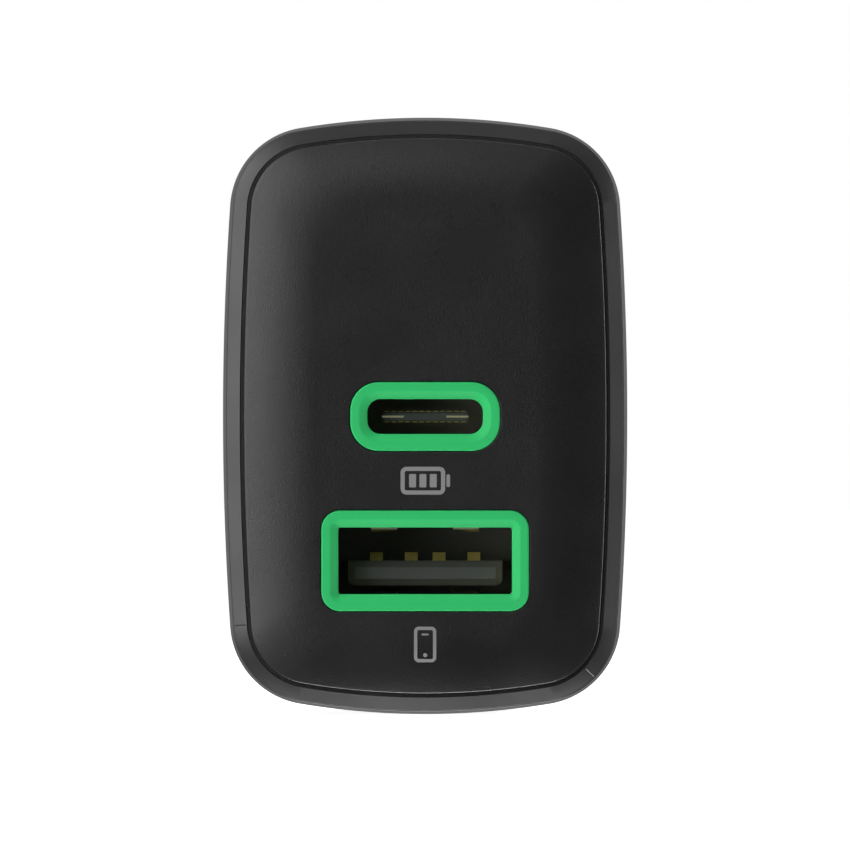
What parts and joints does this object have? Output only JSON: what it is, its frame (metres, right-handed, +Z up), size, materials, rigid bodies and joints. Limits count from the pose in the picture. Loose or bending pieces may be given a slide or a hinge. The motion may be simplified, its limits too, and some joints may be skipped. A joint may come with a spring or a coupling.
{
  "type": "usb wall charger",
  "caption": "Compact USB wall charger: upright rounded block, dark pillowed face with green-ringed USB-C and USB-A ports, and a slim fixed European mains plug behind.",
  "frame": {"origin": "centre of the plug's end face, midway between the two pins where they leave it", "axes": "+Y out of the plug along the pins into the wall, so the face with the ports looks along -Y; +Z up, from the USB-A port towards the USB-C port; +X to the right seen from the front"},
  "size_m": [0.0292, 0.0851, 0.043],
  "materials": {
    "housing_black": "fine spark-eroded texture, satin on the bevel",
    "panel_black": "fine matte grain",
    "plug_black": "fine matte texture",
    "bezel_green": "satin, moulded in colour",
    "print_grey": "pad-printed ink",
    "pin_nickel": "nickel-plated, fine turning marks",
    "sleeve_black": "smooth nylon sleeve",
    "strip_bronze": "stamped phosphor bronze",
    "port_steel": "stamped, nickel-plated",
    "plate_steel": "stamped steel with a warm tint",
    "port_plastic": "glass-filled",
    "contact_gold": "flash gold plating",
    "board_green": "solder mask over glass-fibre laminate",
    "tin": "tin-plated, soldered",
    "ferrite": "ground ferrite",
    "choke_ferrite": "epoxy-coated ferrite ring",
    "bobbin_plastic": "phenolic",
    "magnet_wire": "enamelled copper wire, close wound",
    "insulated_wire": "triple-insulated wire, close wound",
    "tape_yellow": "polyester tape",
    "can_sleeve": "shrink sleeve",
    "can_aluminium": "drawn can",
    "bung_rubber": "moulded",
    "film_yellow": "moulded box filled with resin",
    "disc_blue": "dipped epoxy coat",
    "fuse_brown": "moulded box",
    "chip_black": "transfer-moulded epoxy",
    "inductor_grey": "pressed iron powder",
    "resistor_black": "glazed film with tinned ends",
    "chip_ceramic": "fired ceramic with tinned ends",
    "spreader_aluminium": "rolled sheet",
    "pad_grey": "soft silicone",
    "sheet_ivory": "polyester film"
  },
  "bodies": {
    "root": {"housing_shell": "housing_black", "front_panel": "panel_black", "plug_base": "plug_black", "usb_c_bezel": "bezel_green", "usb_a_bezel": "bezel_green", "live_pin": "pin_nickel", "neutral_pin": "pin_nickel", "live_pin_sleeve": "sleeve_black", "neutral_pin_sleeve": "sleeve_black", "live_contact_strip": "strip_bronze", "neutral_contact_strip": "strip_bronze", "usb_a_shell": "port_steel", "usb_a_insulator": "port_plastic", "usb_a_contacts": "contact_gold", "usb_c_shell": "port_steel", "usb_c_insulator": "port_plastic", "usb_c_mid_plate": "plate_steel", "usb_c_upper_contacts": "contact_gold", "usb_c_lower_contacts": "contact_gold", "main_board": "board_green", "output_board": "board_green", "board_link_pins": "tin", "component_leads": "tin", "transformer_lower_core": "ferrite", "transformer_upper_core": "ferrite", "transformer_bobbin": "bobbin_plastic", "transformer_primary_winding": "magnet_wire", "transformer_secondary_winding": "insulated_wire", "transformer_tape": "tape_yellow", "transformer_pins": "tin", "bulk_capacitor_a": "can_sleeve", "bulk_capacitor_b": "can_sleeve", "bulk_capacitor_tops": "can_aluminium", "output_capacitor_a": "can_aluminium", "output_capacitor_b": "can_aluminium", "output_capacitor_bungs": "bung_rubber", "x_capacitor": "film_yellow", "y_capacitor": "disc_blue", "input_fuse": "fuse_brown", "varistor": "disc_blue", "choke_core": "choke_ferrite", "choke_windings": "magnet_wire", "bridge_rectifier": "chip_black", "primary_controller": "chip_black", "sync_rectifier": "chip_black", "optocoupler": "chip_black", "usb_c_controller": "chip_black", "buck_converter": "chip_black", "buck_inductor": "inductor_grey", "port_capacitor": "can_aluminium", "chip_resistors": "resistor_black", "chip_capacitors": "chip_ceramic", "heat_spreader": "spreader_aluminium", "thermal_pad": "pad_grey", "insulation_sheet": "sheet_ivory"}
  },
  "joints": []
}
